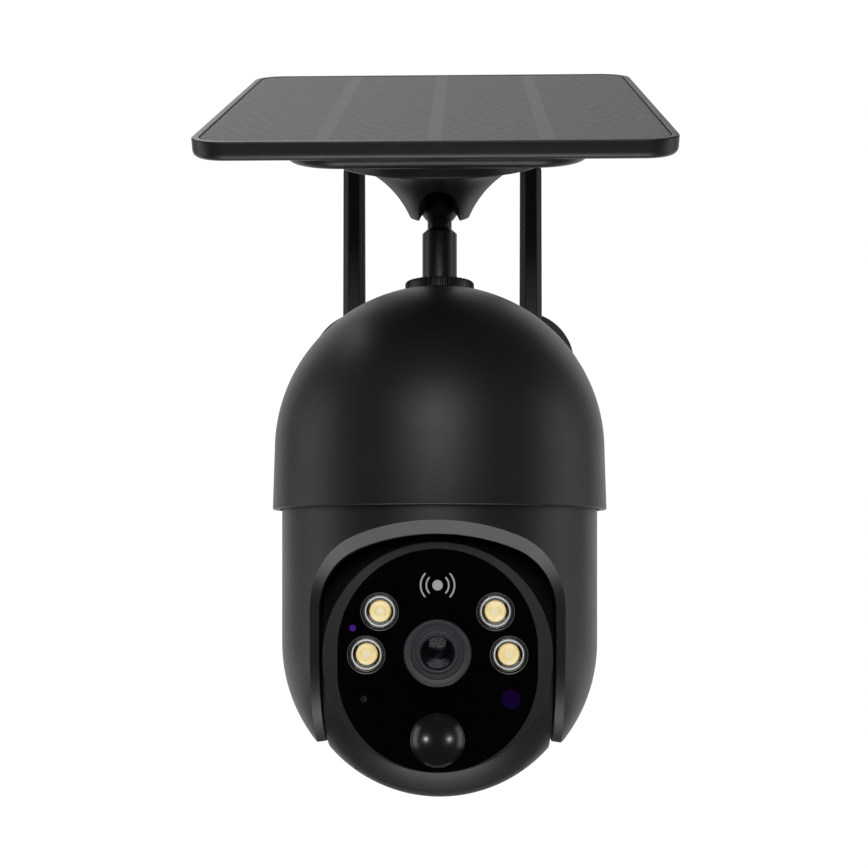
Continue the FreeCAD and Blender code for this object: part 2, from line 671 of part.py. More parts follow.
def head_case():
    """A hollow ball with flat sides and a flat front, a seat for the face and one for the cover."""
    case = common(globe(d.head_radius), block(d.head_half * 2, ROOM, ROOM),
                  block(ROOM, ROOM, ROOM, (0, ROOM * 0.5 + d.face_y, 0)))
    hollow = common(globe(d.head_radius - d.head_wall),
                    block((d.head_half - d.head_wall) * 2, ROOM, ROOM),
                    block(ROOM, ROOM, ROOM, (0, face_at(3.8) + ROOM * 0.5, 0)))
    seat = slab(face_outline(0.15), d.face_thick + 0.2, "XZ_Plane")
    move(seat, (0, face_at(d.face_thick * 0.5), 0))
    mouth = slab(face_outline(-1.8), 12, "XZ_Plane")
    move(mouth, (0, d.face_y, 0))
    flap_seat = slab(flap_outline(0.25), 60, "XY_Plane")
    move(flap_seat, (0, 0, -45))
    skin = cut(globe(d.head_radius + 2), globe(d.head_radius - 1.4))
    flap_mouth = slab(flap_outline(-3.0), 60, "XY_Plane")
    move(flap_mouth, (0, 0, -55))
    pin_start = d.head_half - d.head_wall * 0.5
    pins = [rod(d.trunnion, 10.0, (pin_start, 0, 0), RIGHT), rod(d.trunnion, 9.0, (-pin_start, 0, 0), LEFT)]
    return joined(cut(case, hollow, seat, mouth, common(flap_seat, skin), flap_mouth), *pins)


node("head_case", head_case(), HEAD)

card_cover = common(cut(globe(d.head_radius), globe(d.head_radius - 1.3)),
                    move(slab(flap_outline(0), 60, "XY_Plane"), (0, 0, -45)))
node("card_cover", card_cover, HEAD)

STATUS_SPOT, STATUS_RADIUS = (24.4, -13.8), 3.2
LIGHT_SPOT, LIGHT_RADIUS = (-28.3, 9.8), 1.1
face_holes = [(0, d.lens_z, d.lens_ring + 0.05), (0, d.pir_z, d.pir_radius + 0.05),
              (*LIGHT_SPOT, LIGHT_RADIUS + 0.05), (*STATUS_SPOT, STATUS_RADIUS + 0.05),
              (-24.6, -13.9, 0.9)]
face_holes += [(x, z, d.led_lens + 0.05) for x, z in LEDS]
face_plate = slab(face_outline(0), d.face_thick, "XZ_Plane", face_holes)
node("face_plate", move(face_plate, (0, face_at(d.face_thick * 0.5), 0)), HEAD)


def toward_back(outline):
    """A turned piece whose axis runs from the face into the head."""
    piece = turned(outline)
    piece.Placement = Placement(Vector(0, number(d.face_y), 0), BACK)
    return piece


lens_ring = toward_back([(9.0, -1.2), (10.6, -1.2), (11.3, -0.5), (11.3, 3.0), (8.9, 3.0), (7.4, 1.4)])
node("lens_ring", lens_ring, (0, -d.pan_setback, d.tilt_z + d.lens_z))
lens_barrel = toward_back([(5.4, 0.6), (7.2, 1.5), (8.8, 3.1), (8.8, 22), (4.2, 22), (4.2, 6), (5.4, 4)])
node("lens_barrel", lens_barrel, (0, -d.pan_setback, d.tilt_z + d.lens_z))
front_glass = toward_back([(0, 0.6), (5.3, 1.6, 15.0), (5.3, 3.8), (0, 3.8)])
node("lens_glass", front_glass, (0, -d.pan_setback, d.tilt_z + d.lens_z))
sensor_board = block(24, 1.4, 24, (0, d.face_y + 23, d.lens_z))
sensor_chip = block(5.6, 1.2, 4.8, (0, d.face_y + 21.8, d.lens_z))
node("image_sensor", joined(sensor_board, sensor_chip), HEAD)

led_lenses, led_cups, led_chips = [], [], []
for x, z in LEDS:
    led_lenses.append(rod(d.led_lens, 2.8, (x, face_at(2.0), z), FRONT))
    cup = rod(4.9, 2.8, (x, face_at(4.9), z), FRONT)
    led_cups.append(cut(cup, rod(3.6, 5, (x, face_at(6), z), FRONT)))
    led_chips.append(rod(3.5, 1.6, (x, face_at(4.9), z), FRONT))
node("led_lenses", group(*led_lenses), HEAD)
node("led_reflectors", group(*led_cups), HEAD)
node("led_chips", group(*led_chips), HEAD)
led_board = slab(face_outline(-5.0), 1.4, "XZ_Plane", [(0, d.lens_z, 9.2), (0, d.pir_z, 4.4)])
node("led_board", move(led_board, (0, face_at(5.7), 0)), HEAD)

pir_lens = toward_back([(0, 2.0), (0, -3.6), (d.pir_radius, 0.6, 12.0), (d.pir_radius, 2.0)])
node("pir_lens", pir_lens, (0, -d.pan_setback, d.tilt_z + d.pir_z))
pir_can = rod(4.1, 3.4, (0, face_at(5.9), d.pir_z), FRONT)
node("pir_sensor", pir_can, HEAD)

for label, (x, z), radius in (("status_window", STATUS_SPOT, STATUS_RADIUS),
                              ("light_sensor", LIGHT_SPOT, LIGHT_RADIUS)):
    node(label, rod(radius, 2.4, (x, face_at(2.1), z), FRONT), HEAD)

speaker = joined(rod(13, 5, (0, 14, -22), BACK), rod(8, 4, (0, 19, -22), BACK))
node("speaker", speaker, HEAD)

# ---------------------------------------------------------------- arm, nut and ball joint
clip_low, clip_high = 40.3, 41.8
stem_top = 76.4
neck_low = 78.2
neck_high = d.ball_z - d.ball_radius.leg(d.neck_radius)
arm_outline = [
    (0, 37.5), (d.stem_radius - 0.8, 37.5), (d.stem_radius, 38.3), (d.stem_radius, clip_low),
    (5.4, clip_low), (5.4, clip_high), (d.stem_radius, clip_high), (d.stem_radius, stem_top),
    (d.neck_radius, neck_low), (d.neck_radius, neck_high),
    (0, d.ball_z + d.ball_radius, d.ball_radius),
]
node("arm_stem", turned(arm_outline), PAN)
clip = cut(rod(8.6, 1.3, (0, 0, clip_low + 0.1)), rod(5.45, 5, (0, 0, clip_low - 2)),
           block(9.5, 20, 5, (0, 12.0, clip_low)))
node("arm_clip", clip, PAN)

nut_low = d.recess_z + 0.15
RIBS = 40


def lock_nut():
    """A ring with fine grip ribs round its edge."""
    core = d.nut_radius - 0.5
    blank = turned([(stem_bore, nut_low), (core, nut_low), (core, d.nut_top - 1.2),
                    (core - 1.2, d.nut_top), (stem_bore, d.nut_top)])
    sketch = new_sketch(blank, "XY_Plane")
    draw(sketch, [(core - 1.6, -0.32), (d.nut_radius, -0.32), (d.nut_radius, 0.32), (core - 1.6, 0.32)])
    rib = blank.newObject("PartDesign::Pad", fresh("pad"))
    rib.Profile = sketch
    bind(rib, "Length", d.nut_top - 1.3)
    doc.recompute()
    grip = blank.newObject("PartDesign::PolarPattern", fresh("pattern"))
    grip.Originals = [rib]
    grip.Axis = (sketch, ["N_Axis"])
    grip.Angle = 360
    grip.Occurrences = RIBS
    blank.Tip = grip
    return cut(blank, rod(d.nut_radius + 2, nut_low, (0, 0, 0)))


node("lock_nut", lock_nut(), PAN)


def front_notch():
    """The round-topped way out of the socket, open in front and below, that the stem swings in."""
    deep, tall = 40.0, 20.0
    gap = block(d.notch_half * 2, deep, tall, (0, -deep * 0.5, d.notch_z - tall * 0.5))
    return joined(gap, rod(d.notch_half, deep, (0, 0, d.notch_z), FRONT))


liner_in, liner_out = d.ball_radius + 0.05, d.ball_radius + 1.2
liner_blank = common(cut(globe(liner_out), globe(liner_in)), block(30, 30, 9.6, (0, 0, 1.3)))
node("ball_liner", cut(liner_blank, front_notch()), BALL, PITCH)

# ---------------------------------------------------------------- solar panel
cup_in = liner_out + 0.05
socket_cup_outline = [
    (0, cup_in, cup_in), (0, d.boss_low), (d.flange_radius, d.boss_low),
    (d.flange_radius, d.flange_low + 0.8), (d.flange_radius - 0.8, d.flange_low),
    (32.0, d.flange_low), (d.flare_lip, -3.6, d.flare_radius),
    (cup_in.leg(3.6), -3.6),
]
cup_blank = turned(socket_cup_outline)
CUP_SCREWS = [(x, y) for x in (-19, 19) for y in (-19, 19)]
cup_bores = [rod(1.6, 20, (x, y, 8)) for x, y in CUP_SCREWS]
cup_bores += [rod(3.2, 12, (x, y, d.boss_low - 14.5)) for x, y in CUP_SCREWS]
node("ball_socket", cut(cup_blank, front_notch(), *cup_bores), BALL, PITCH)


def soft_slab(outline, low, high, radius):
    """A slab between two heights whose lower edge is rounded."""
    base = slab(outline, high - low)
    move(base, (0, 0, (low + high) * 0.5))
    doc.recompute()
    edges = [index for index, edge in enumerate(base.Shape.Edges, start=1)
             if edge.BoundBox.ZMax < number(low) + 0.01]
    soft = doc.addObject("Part::Fillet", fresh("soft"))
    soft.Base = base
    soft.Edges = [(index, number(radius), number(radius)) for index in edges]
    return soft


back_bores = [rod(1.0, 6, (x, y, d.boss_low - 0.5)) for x, y in CUP_SCREWS]
back = soft_slab(rounded(d.back_width, d.back_length, d.back_corner), d.boss_low, d.panel_low,
                 d.back_under)
node("panel_back", cut(back, *back_bores), BALL, PITCH)

cup_screws = [screw(2.8, 2.0, 0.95, 6.4, (x, y, d.boss_low - 4.6), UP) for x, y in CUP_SCREWS]
node("socket_screws", group(*cup_screws), BALL, PITCH)

frame_slab = soft_slab(rounded(d.panel_width, d.panel_length, d.panel_corner), d.panel_low,
                       d.panel_top, d.panel_under)


def inset_slab(inset, thick, middle):
    """A slab of the panel's outline, drawn in by an inset on all sides."""
    outline = rounded(d.panel_width - inset * 2, d.panel_length - inset * 2, d.panel_corner - inset)
    return move(slab(outline, thick), (0, 0, middle))


node("panel_frame", cut(frame_slab, inset_slab(d.rim_width, d.glass_deep * 2, d.panel_top)), BALL, PITCH)

COLUMNS = 4
sheet_z = d.panel_top - d.glass_deep
strips = [block(d.cell_width, d.panel_length - 14, d.cell_high,
                (d.cell_pitch * (index - (COLUMNS - 1) / 2), 0, sheet_z + d.cell_high * 0.5))
          for index in range(COLUMNS)]
node("solar_cells", group(*strips), BALL, PITCH)
glass_low = sheet_z + d.cell_high
glass_thick = d.panel_top - 0.15 - glass_low
glass = inset_slab(d.rim_width + d.glass_gap, glass_thick, glass_low + glass_thick * 0.5)
node("panel_glass", glass, BALL, PITCH)

# ---------------------------------------------------------------- check and write
doc.recompute()
failed = [thing.Name for thing in doc.Objects if "Invalid" in thing.State or "Error" in thing.State]
bad = [thing.Label for thing in nodes if thing.Shape.isNull() or not thing.Shape.isValid()]
if failed or bad:
    raise RuntimeError(f"failed objects {failed}, bad shapes {bad}")
os.makedirs("parts", exist_ok=True)
for thing in nodes:
    if not thing.Shape.Solids:
        raise RuntimeError(f"{thing.Label} has no solid")
    thing.Shape.exportStep(f"parts/{thing.Label}.step")
    print(f"{thing.Label:16s} {len(thing.Shape.Solids):3d} solids {thing.Shape.Volume:12.1f} mm3")
print(len(nodes), "nodes")
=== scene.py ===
# %% [markdown]
# # A solar-powered security camera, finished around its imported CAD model
# The camera hangs from a box on a wall.  A dome holds the batteries and the pan motor, a fork turns
# under it, and a ball-shaped head tilts in the fork.  A solar panel stands on a ball joint on top, and
# two flat antennas rise behind.  The CAD model fixes every size and joint.  This file adds the finer
# skins, the optics, the finishes and the studio.

# %% Load the frame
import json
import math

import bmesh
import bpy
import numpy as np
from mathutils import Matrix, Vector


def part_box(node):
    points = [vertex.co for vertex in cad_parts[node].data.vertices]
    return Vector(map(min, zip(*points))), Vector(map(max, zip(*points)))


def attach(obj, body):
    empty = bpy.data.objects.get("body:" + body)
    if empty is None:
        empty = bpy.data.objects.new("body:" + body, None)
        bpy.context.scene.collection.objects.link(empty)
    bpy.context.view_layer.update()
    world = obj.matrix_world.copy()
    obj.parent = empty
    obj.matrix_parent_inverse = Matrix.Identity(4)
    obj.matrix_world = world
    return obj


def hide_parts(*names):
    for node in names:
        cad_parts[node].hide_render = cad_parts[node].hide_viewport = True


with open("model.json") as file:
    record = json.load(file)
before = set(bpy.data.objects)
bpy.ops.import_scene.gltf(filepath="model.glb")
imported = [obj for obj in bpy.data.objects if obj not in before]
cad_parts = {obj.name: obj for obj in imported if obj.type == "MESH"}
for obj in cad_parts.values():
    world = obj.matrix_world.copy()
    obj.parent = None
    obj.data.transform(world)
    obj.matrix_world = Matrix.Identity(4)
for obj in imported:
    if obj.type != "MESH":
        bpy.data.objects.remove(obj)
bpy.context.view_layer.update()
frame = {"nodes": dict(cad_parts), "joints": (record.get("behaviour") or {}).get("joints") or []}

# %% [markdown]
# Every place comes from the record's joints, so that a piece made here turns about the same axis as
# the CAD piece that it stands for.  Lengths below are written in millimetres times `MM`.

# %% Places
MM = 0.001
joints = {joint["name"]: joint for joint in frame["joints"]}


def joint_place(name):
    """The point that a joint turns about, in metres."""
    return np.array(joints[name]["pos_m"], float)


pan_axis = joint_place("pan") * (1, 1, 0)
tilt_centre = joint_place("tilt")
ball_centre = joint_place("panel_pitch")
panel_normal = np.array(joints["panel_spin"]["axis"], float)
pitch = math.atan2(-panel_normal[1], panel_normal[2])
face_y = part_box("head_case")[0][1]
print("pan axis", pan_axis, "tilt", tilt_centre, "ball", ball_centre)
print("panel pitch in degrees", round(math.degrees(pitch), 1))

# %% [markdown]
# ## Building surfaces from arrays
# A skin is a grid of points: rows along a profile, columns round it.  The faces join each point to its
# neighbours, and a row or a column may close on itself.  A listed outline has few corners, and
# `softened` rounds them with small arcs, because no moulded edge is knife sharp.

# %% Grid helpers


def softened(corners, steps=5):
    """Round the corners of an open outline.

    A corner is (x, y) or (x, y, radius).  A radius becomes an arc tangent to both neighbouring edges:
    its centre lies on the corner's bisector, at radius / sin(half the angle).
    """
    points = [np.array(corners[0][:2], float)]
    for before, corner, after in zip(corners, corners[1:], corners[2:]):
        spot = np.array(corner[:2], float)
        radius = corner[2] if len(corner) == 3 else 0.0
        if radius == 0.0:
            points.append(spot)
            continue
        back = np.array(before[:2], float) - spot
        ahead = np.array(after[:2], float) - spot
        back_long, ahead_long = np.linalg.norm(back), np.linalg.norm(ahead)
        back, ahead = back / back_long, ahead / ahead_long
        half = math.acos(np.clip(back @ ahead, -1.0, 1.0)) / 2
        reach = min(radius / math.tan(half), 0.48 * back_long, 0.48 * ahead_long)
        bisector = (back + ahead) / np.linalg.norm(back + ahead)
        centre = spot + bisector * reach / math.cos(half)
        start, end = spot + back * reach - centre, spot + ahead * reach - centre
        share = np.linspace(0.0, 1.0, steps)[:, None]
        sweep = math.pi - 2 * half
        turn = (np.sin((1 - share) * sweep) * start + np.sin(share * sweep) * end) / math.sin(sweep)
        points.extend(centre + turn)
    points.append(np.array(corners[-1][:2], float))
    return np.array(points)


def arc(centre, radius, first, last, count):
    """Points on a circle from one angle to another, in degrees."""
    angle = np.radians(np.linspace(first, last, count))
    return np.column_stack([centre[0] + radius * np.cos(angle), centre[1] + radius * np.sin(angle)])


def lathe(profile, turns=128):
    """Turn a profile of (radius, height) about Z: x = r cos a, y = r sin a, z = height."""
    angle = np.linspace(0.0, 2 * math.pi, turns, endpoint=False)
    radius, height = profile[:, 0:1], profile[:, 1:2]
    return np.stack([radius * np.cos(angle), radius * np.sin(angle), height + 0 * angle], axis=2)


def facing_front(points):
    """Turn +Z to -Y, so that a lathed piece points out of the face."""
    x, y, z = np.moveaxis(points, -1, 0)
    return np.stack([x, -z, y], axis=-1)


def on_panel(points):
    """Carry points from the panel's own frame, whose origin is the ball, to their place."""
    x, y, z = np.moveaxis(points * MM, -1, 0)
    cosine, sine = math.cos(pitch), math.sin(pitch)
    return np.stack([x, y * cosine - z * sine, y * sine + z * cosine], axis=-1) + ball_centre


def grid_faces(rows, columns, wrap_rows, wrap_columns):
    """Corner numbers of every four-sided face of a grid, as one array."""
    row = np.arange(rows if wrap_rows else rows - 1)
    column = np.arange(columns if wrap_columns else columns - 1)
    row, column = np.meshgrid(row, column, indexing="ij")
    next_row, next_column = (row + 1) % rows, (column + 1) % columns
    faces = np.stack([row * columns + column, row * columns + next_column,
                      next_row * columns + next_column, next_row * columns + column], axis=-1)
    return faces.reshape(-1, 4)


def skin(name, grid, wrap_rows=False, wrap_columns=True, caps=False, sharp=35.0):
    """Make one closed mesh object from a grid of points.

    caps closes the first and last rows with one face each.  Points that fall together, as at a pole,
    are merged, the faces are turned outwards, and edges sharper than the given angle stay crisp.
    """
    rows, columns = grid.shape[:2]
    faces = grid_faces(rows, columns, wrap_rows, wrap_columns).tolist()
    if caps:
        faces.append(list(range(columns)))
        faces.append(list(range((rows - 1) * columns, rows * columns)))
    mesh = bpy.data.meshes.new(name)
    mesh.from_pydata(grid.reshape(-1, 3).tolist(), [], faces)
    tidy_mesh(mesh, sharp)
    return link(name, mesh)


def tidy_mesh(mesh, sharp):
    """Merge doubled points, face outwards and mark the crisp edges."""
    work = bmesh.new()
    work.from_mesh(mesh)
    bmesh.ops.remove_doubles(work, verts=work.verts, dist=1e-6)
    bmesh.ops.dissolve_degenerate(work, edges=work.edges, dist=1e-7)
    bmesh.ops.recalc_face_normals(work, faces=work.faces)
    work.to_mesh(mesh)
    work.free()
    mesh.shade_smooth()
    mesh.set_sharp_from_angle(angle=math.radians(sharp))


def link(name, mesh):
    """Put a finished mesh into the scene."""
    piece = bpy.data.objects.new(name, mesh)
    bpy.context.scene.collection.objects.link(piece)
    print(f"{name}: {len(mesh.polygons)} faces")
    return piece


# %% [markdown]
# ## Shader sums written as Python
# A `Wire` stands for one output of a shader node.  Its operators add Math nodes, so a pattern reads
# like a formula.  Any other node comes from `Finish.node`, which takes its type, settings and inputs.

# %% Shader helpers


class Wire:
    """One output socket of a shader node, with operators for arithmetic."""

    def __init__(self, finish, socket):
        self.finish = finish
        self.socket = socket

    def math(self, operation, *others, first=None):
        values = [self if first is None else first, *others]
        inputs = dict(enumerate(values))
        return self.finish.node("ShaderNodeMath", {"operation": operation}, inputs)

    def __add__(self, other):
        return self.math("ADD", other)

    def __sub__(self, other):
        return self.math("SUBTRACT", other)

    def __mul__(self, other):
        return self.math("MULTIPLY", other)

    def __truediv__(self, other):
        return self.math("DIVIDE", other)

    def __radd__(self, other):
        return self.math("ADD", self, first=other)

    def __rsub__(self, other):
        return self.math("SUBTRACT", self, first=other)

    def __rmul__(self, other):
        return self.math("MULTIPLY", self, first=other)

    def sine(self):
        return self.math("SINE")

    def absolute(self):
        return self.math("ABSOLUTE")

    def step(self, low, high):
        """0 below low, 1 above high, and smooth between."""
        inputs = {"Value": self, "From Min": low, "From Max": high}
        settings = {"interpolation_type": "SMOOTHSTEP", "clamp": True}
        return self.finish.node("ShaderNodeMapRange", settings, inputs)


class Finish:
    """A material and the few ways of adding to it that this file needs."""

    def __init__(self, name, **sockets):
        self.material = bpy.data.materials.new(name)
        self.material.use_nodes = True
        self.tree = self.material.node_tree
        self.shader = self.tree.nodes["Principled BSDF"]
        for socket, value in sockets.items():
            self.shader.inputs[socket.replace("_", " ")].default_value = value

    def node(self, kind, settings=None, inputs=None, output=0):
        made = self.tree.nodes.new(kind)
        for field, value in (settings or {}).items():
            setattr(made, field, value)
        for socket, value in (inputs or {}).items():
            self.feed(made.inputs[socket], value)
        return Wire(self, made.outputs[output])

    def feed(self, socket, value):
        if isinstance(value, Wire):
            self.tree.links.new(value.socket, socket)
        else:
            socket.default_value = value

    def coordinate(self, output="Object"):
        return self.node("ShaderNodeTexCoord", output=output)

    def noise(self, scale, detail, vector=None):
        """Cloudy noise from 0 to 1, on the piece's own coordinates unless a vector is given."""
        inputs = {"Vector": vector or self.coordinate(), "Scale": scale, "Detail": detail}
        return self.node("ShaderNodeTexNoise", None, inputs)

    def blend(self, share, first, second):
        """Mix two colours by a share from 0 to 1."""
        made = self.tree.nodes.new("ShaderNodeMix")
        made.data_type = "RGBA"
        for socket, value in ((made.inputs[0], share), (made.inputs[6], first), (made.inputs[7], second)):
            self.feed(socket, value)
        return Wire(self, made.outputs[2])

    def bump(self, height, distance, strength):
        inputs = {"Height": height, "Distance": distance, "Strength": strength}
        self.feed(self.shader.inputs["Normal"], self.node("ShaderNodeBump", None, inputs))

    def set(self, socket, value):
        self.feed(self.shader.inputs[socket], value)


def grey(value):
    """An opaque colour with three equal parts."""
    return (value, value, value, 1.0)


# %% [markdown]
# ## The black housing plastic
# The housing is a black moulding with a very fine spark-eroded grain.  The grain is small bumps about
# a third of a millimetre apart, and a slower noise varies the gloss, as handling and weather do.

# %% Moulded black plastic


def moulded_plastic(name, tone, gloss, grain=0.35 * MM, depth=0.012 * MM, shine=0.5, tint=(1, 1, 1)):
    """A grained moulding: tone is its grey, tint its lean to a hue, gloss its mean roughness."""
    finish = Finish(name, Specular_IOR_Level=shine)
    dark, light = (tuple(tone * share * lean for lean in tint) + (1.0,) for share in (0.86, 1.14))
    cloud = finish.noise(1 / (18 * MM), 4.0)
    speck = finish.noise(1 / grain, 2.0)
    finish.set("Base Color", finish.blend(cloud, dark, light))
    finish.set("Roughness", gloss - 0.06 + cloud * 0.09 + speck * 0.04)
    finish.bump(speck, depth, 0.6)
    return finish.material


housing_black = moulded_plastic("housing_black", 0.010, 0.44)
head_black = moulded_plastic("head_black", 0.010, 0.42, 0.3 * MM, shine=0.35)
antenna_black = moulded_plastic("antenna_black", 0.018, 0.44)
arm_black = moulded_plastic("arm_black", 0.009, 0.36, 0.25 * MM, 0.006 * MM)
panel_black = moulded_plastic("panel_black", 0.010, 0.40, 0.3 * MM)
nut_black = moulded_plastic("nut_black", 0.010, 0.38, 0.25 * MM)
print("plastics ready")

# %% [markdown]
# ## The solar laminate
# The cells lie under a matt film.  Four cell columns show as darker fields between three lighter
# strips.  A faint nested grain runs through each column, as the fine grid lines of the cells make with
# the film's own texture.  The grain is a sine of the length along the panel, and the distance from the
# column's middle bends its lines into nested chevrons, while a slow noise lets them wander.  The
# film's own UV map is in millimetres from the panel's centre.  The light grey level of the whole film
# is a painted reflection of the bright surroundings; its columns, strips and grain are its own pattern.

# %% Solar laminate
COLUMN_PITCH, COLUMN_WIDTH, STRIPS_EACH_SIDE = 33.7, 29.3, 1.5
CHEVRON_TURN = 21.0


def solar_laminate():
    """Cell columns, nested grain and fine film texture, all from the UV map in millimetres."""
    finish = Finish("solar_laminate", Specular_IOR_Level=0.12)
    flat = finish.coordinate("UV")
    across = finish.node("ShaderNodeSeparateXYZ", None, {"Vector": flat})
    along = Wire(finish, across.socket.node.outputs[1])
    column = (across / COLUMN_PITCH).math("FRACT")
    from_middle = (column - 0.5).absolute() * COLUMN_PITCH
    half = COLUMN_WIDTH / 2
    cell = 1.0 - from_middle.step(half - 0.35, half + 0.35)
    last_strip = STRIPS_EACH_SIDE * COLUMN_PITCH
    inner = 1.0 - across.absolute().step(last_strip, last_strip + 0.1)
    cell = (cell - 1.0) * inner + 1.0
    drift = finish.noise(0.045, 3.0, flat)
    ripple = finish.noise(0.35, 2.0, flat)
    nested = (1.0 - from_middle / (COLUMN_PITCH / 2)) * CHEVRON_TURN
    grain = (along * 0.62 + nested + drift * 14.0 + ripple * 2.4).sine()
    fine = (along * 1.9 + nested * 2.6 + drift * 26.0 + ripple * 4.0).sine()
    figure = (grain * 0.38 + fine * 0.26) * cell + 0.5
    # The light overall level of these greys is a painted reflection of the bright surroundings; their
    # differences are the film's own pattern.
    shade = finish.blend(figure, grey(0.146), grey(0.176))
    finish.set("Base Color", finish.blend(cell, grey(0.192), shade))
    film = finish.noise(1.6, 2.0, flat)
    finish.set("Roughness", 0.60 + film * 0.08)
    finish.bump(film, 0.02 * MM, 0.5)
    return finish.material


laminate = solar_laminate()
print("laminate ready")

# %% [markdown]
# ## Glossy, clear and metal finishes
# The face is a polished black sheet.  The optics are real clear glass over dark barrels.  The lamps
# have a white reflector ring and a yellow phosphor, whose rings follow the distance from each lamp;
# ring and phosphor both glow faintly, a painted glow, and each collar's light grey edge is a painted
# highlight.

# %% Optics and small finishes


def polished(name, colour, roughness, **sockets):
    """A smooth glossy plastic with faint smudges."""
    finish = Finish(name, Base_Color=colour, **sockets)
    cloud = finish.noise(1 / (7 * MM), 5.0)
    finish.set("Roughness", roughness + cloud.step(0.45, 0.75) * 0.05)
    return finish.material


def clear(name, colour, roughness, bend):
    """A transparent piece that bends light like glass; coated glass bends and reflects less."""
    finish = Finish(name, Base_Color=colour, Transmission_Weight=1.0, IOR=bend)
    cloud = finish.noise(1 / (4 * MM), 3.0)
    finish.set("Roughness", cloud * 0.02 + roughness)
    return finish.material


def metal(name, colour, roughness):
    """A worked metal with fine brushed variation."""
    finish = Finish(name, Base_Color=colour, Metallic=1.0)
    cloud = finish.noise(1 / (0.8 * MM), 4.0)
    finish.set("Roughness", roughness + cloud * 0.12)
    finish.bump(cloud, 0.004 * MM, 0.4)
    return finish.material


face_gloss = polished("face_gloss", grey(0.0008), 0.05, Specular_IOR_Level=0.12)
smoked = polished("smoked_lens", grey(0.008), 0.25, Specular_IOR_Level=1.0)
lamp_collar = polished("lamp_collar", grey(0.005), 0.16)
# The collar's light grey edge ring is a painted highlight on the collar's lip.
lamp_edge_painted_highlight = polished("lamp_edge_painted_highlight", grey(0.13), 0.25)
lens_satin = moulded_plastic("lens_satin", 0.034, 0.38, 0.2 * MM, 0.002 * MM, tint=(0.9, 1.0, 1.2))
lens_dark = polished("lens_dark", grey(0.006), 0.22)
lamp_clear = clear("lamp_clear", (0.97, 0.98, 0.97, 1.0), 0.0, 1.35)
# The reflector ring is white, and its faint emission is a painted glow.
reflector_white_painted_glow = polished("reflector_white_painted_glow", grey(0.85), 0.25, Emission_Color=grey(1.0), Emission_Strength=0.22)
camera_glass = clear("camera_glass", (0.50, 0.50, 0.58, 1.0), 0.02, 1.22)
mirror_ring = metal("mirror_ring", (0.90, 0.89, 0.85, 1.0), 0.08)
steel = metal("steel", (0.52, 0.52, 0.53, 1.0), 0.28)
violet = polished("violet_window", (0.011, 0.001, 0.042, 1.0), 0.10, Specular_IOR_Level=0.12)
violet_bright = polished("violet_dot", (0.090, 0.020, 0.330, 1.0), 0.15, Specular_IOR_Level=0.12)
print_grey = moulded_plastic("print_grey", 0.60, 0.5, 0.3 * MM, 0.001 * MM)
acetal = moulded_plastic("acetal", 0.62, 0.4)
solder_mask = polished("solder_mask", (0.010, 0.085, 0.030, 1.0), 0.3)
cell_wrap = polished("cell_wrap", (0.03, 0.16, 0.42, 1.0), 0.25)
seal_rubber = moulded_plastic("seal_rubber", 0.016, 0.7, 0.5 * MM)
dark_cell = polished("dark_cell", (0.010, 0.013, 0.030, 1.0), 0.2)
print("optics, metals and small finishes ready")

# %% Assign finishes to the CAD nodes that stay
KEPT = {
    housing_black: ["rear_box", "wall_plate", "fork_shell", "drive_cover", "battery_tray", "pan_base",
                    "arm_socket", "charge_inlet", "power_button", "dome_shell"],
    antenna_black: ["antenna_left", "antenna_right"],
    head_black: ["head_case", "card_cover"],
    panel_black: ["panel_frame", "panel_back", "ball_socket"],
    arm_black: ["arm_stem", "ball_liner"],
    nut_black: ["lock_nut"],
    face_gloss: ["face_plate"],
    steel: ["box_screws", "base_screws", "socket_screws", "pan_motor", "tilt_motor", "arm_clip",
            "antenna_hinges", "pir_sensor"],
    acetal: ["pan_gear", "pan_pinion", "tilt_gear", "tilt_pinion", "tilt_bush"],
    solder_mask: ["main_board", "led_board", "image_sensor"],
    cell_wrap: ["battery_cells"],
    seal_rubber: ["rear_seal"],
    lens_satin: ["lens_ring", "speaker"],
    lens_dark: ["lens_barrel"],
    camera_glass: ["lens_glass"],
    lamp_clear: ["led_lenses"],
    mirror_ring: ["led_reflectors"],
    smoked: ["pir_lens"],
    violet: ["status_window"],
    violet_bright: ["light_sensor"],
    dark_cell: ["solar_cells"],
    laminate: ["panel_glass"],
}
for material, names in KEPT.items():
    for name in names:
        mesh = frame["nodes"][name].data
        mesh.materials.clear()
        mesh.materials.append(material)
print("finished CAD nodes:", sum(len(names) for names in KEPT.values()))


def finish_piece(piece, material, body, *nodes):
    """Give a new piece its finish and body, and let it stand for its CAD nodes."""
    piece.data.materials.append(material)
    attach(piece, body)
    if nodes:
        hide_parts(*nodes)
    return piece


# %% [markdown]
# ## The dome
# The dome is a deep moulded cap: a true sphere above, a slightly flared skirt below, and a shallow
# round recess on top for the lock nut.  It is one profile turned about the pan axis, with a wall, so
# its rim shows a real thickness.

# %% Dome
DOME_R, DOME_Z, WALL = 58.9, -1.8, 2.5
RIM_R, RIM_Z = 59.6, -22.8
RECESS_R, RECESS_Z, BORE_R = 13.0, 54.6, 10.05


